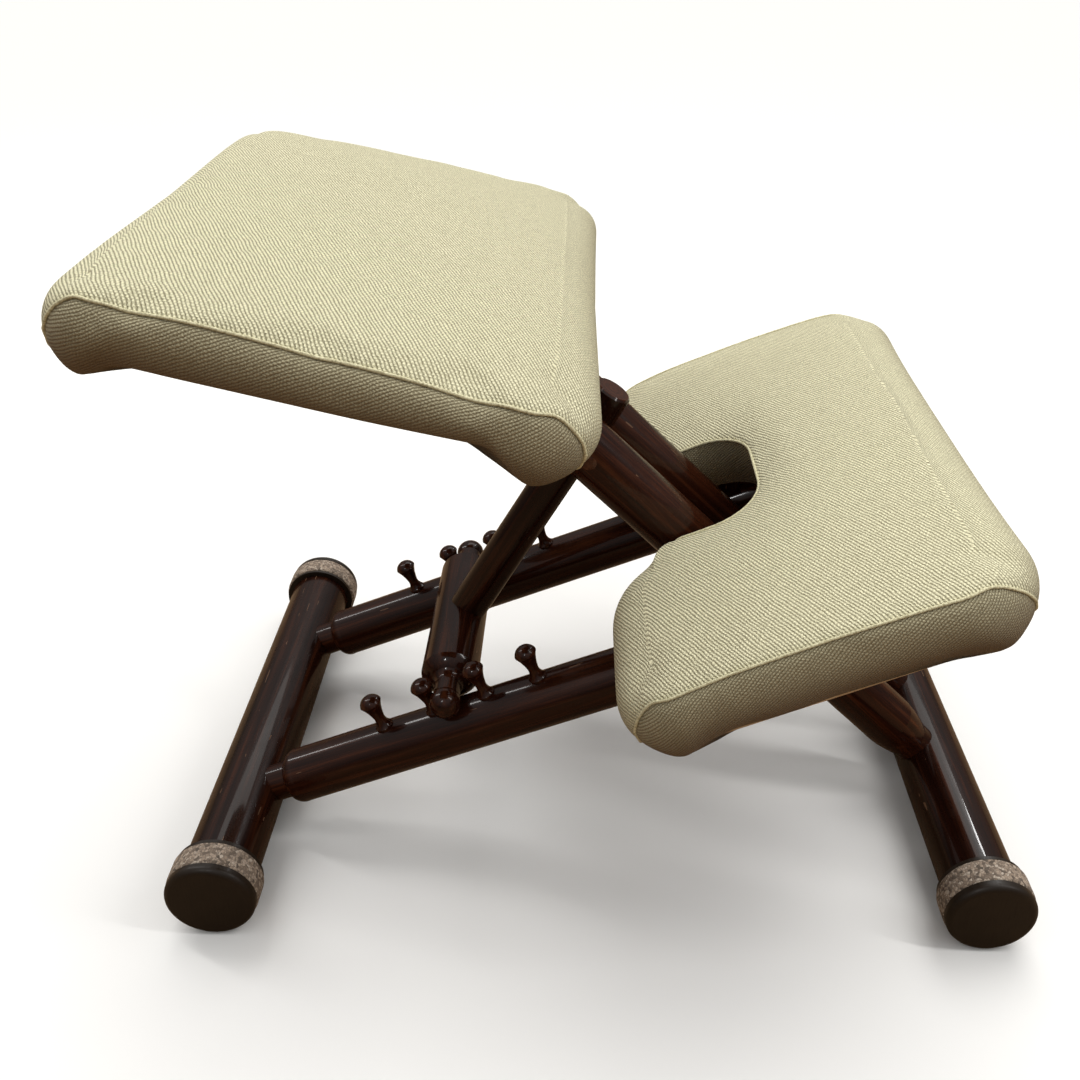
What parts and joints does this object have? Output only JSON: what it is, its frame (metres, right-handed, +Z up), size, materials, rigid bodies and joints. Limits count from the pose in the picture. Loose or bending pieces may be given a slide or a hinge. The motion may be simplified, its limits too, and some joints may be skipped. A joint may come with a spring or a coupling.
{
  "type": "kneeling chair",
  "caption": "Folding kneeling chair: round wooden scissor frame on cork-ringed crossbars, adjustable prop on pegs, padded seat and notched knee pad.",
  "frame": {"origin": "on the floor, midway between the crossbars, on the centre plane", "axes": "+X forward from the seat to the knee pad, +Y the sitter's left, +Z up"},
  "size_m": [0.676, 0.5086, 0.5267],
  "materials": {
    "stained_wood": "dark walnut stain under gloss lacquer",
    "turned_wood": "turned and polished, gloss lacquer",
    "plug_wood": "turned, satin lacquer",
    "plywood": "raw birch plywood",
    "wool_twill": "pale sage wool twill over foam",
    "cork": "speckled cork composite",
    "black_plastic": "moulded, satin",
    "nylon": "turned, dull",
    "steel": "zinc plated"
  },
  "bodies": {
    "rail_frame": {"knee_batten": "stained_wood", "knee_block_left": "stained_wood", "knee_block_right": "stained_wood", "knee_board": "plywood", "knee_pad": "wool_twill", "knee_screws": "steel", "peg_left_1": "turned_wood", "peg_left_2": "turned_wood", "peg_left_3": "turned_wood", "peg_left_4": "turned_wood", "peg_right_1": "turned_wood", "peg_right_2": "turned_wood", "peg_right_3": "turned_wood", "peg_right_4": "turned_wood", "pivot_bolt_left": "steel", "pivot_bolt_right": "steel", "pivot_nut_left": "steel", "pivot_nut_right": "steel", "pivot_spacer_left": "nylon", "pivot_spacer_right": "nylon", "rail_left": "stained_wood", "rail_right": "stained_wood", "rail_screws": "steel", "rear_cork_left": "cork", "rear_cork_right": "cork", "rear_crossbar": "stained_wood", "rear_hub_left": "black_plastic", "rear_hub_right": "black_plastic", "rear_joint_bolts": "steel"},
    "seat_frame": {"beam_left": "stained_wood", "beam_right": "stained_wood", "bearer_screws": "steel", "front_cork_left": "cork", "front_cork_right": "cork", "front_crossbar": "stained_wood", "front_hub_left": "black_plastic", "front_hub_right": "black_plastic", "front_joint_bolts": "steel", "pin_plugs": "plug_wood", "prop_pin": "steel", "prop_washers": "nylon", "seat_bearer": "stained_wood", "seat_board": "plywood", "seat_pad": "wool_twill", "seat_screws": "steel"},
    "prop": {"prop_crossbar": "turned_wood", "prop_screw": "steel", "prop_strut": "stained_wood"}
  },
  "joints": [
    {"name": "seat_lift", "type": "hinge", "parent": "rail_frame", "child": "seat_frame", "pos_m": [0.1166, 0, 0.21516], "axis": [0, 1, 0], "range_deg": [0, 26]},
    {"name": "prop_swing", "type": "hinge", "parent": "seat_frame", "child": "prop", "pos_m": [-0.01634, 0, 0.34382], "axis": [0, 1, 0], "range_deg": [-9.5, 0]}
  ],
  "couplings": [
    {"joint": "prop_swing", "follows": "seat_lift", "ratio": -0.35}
  ]
}
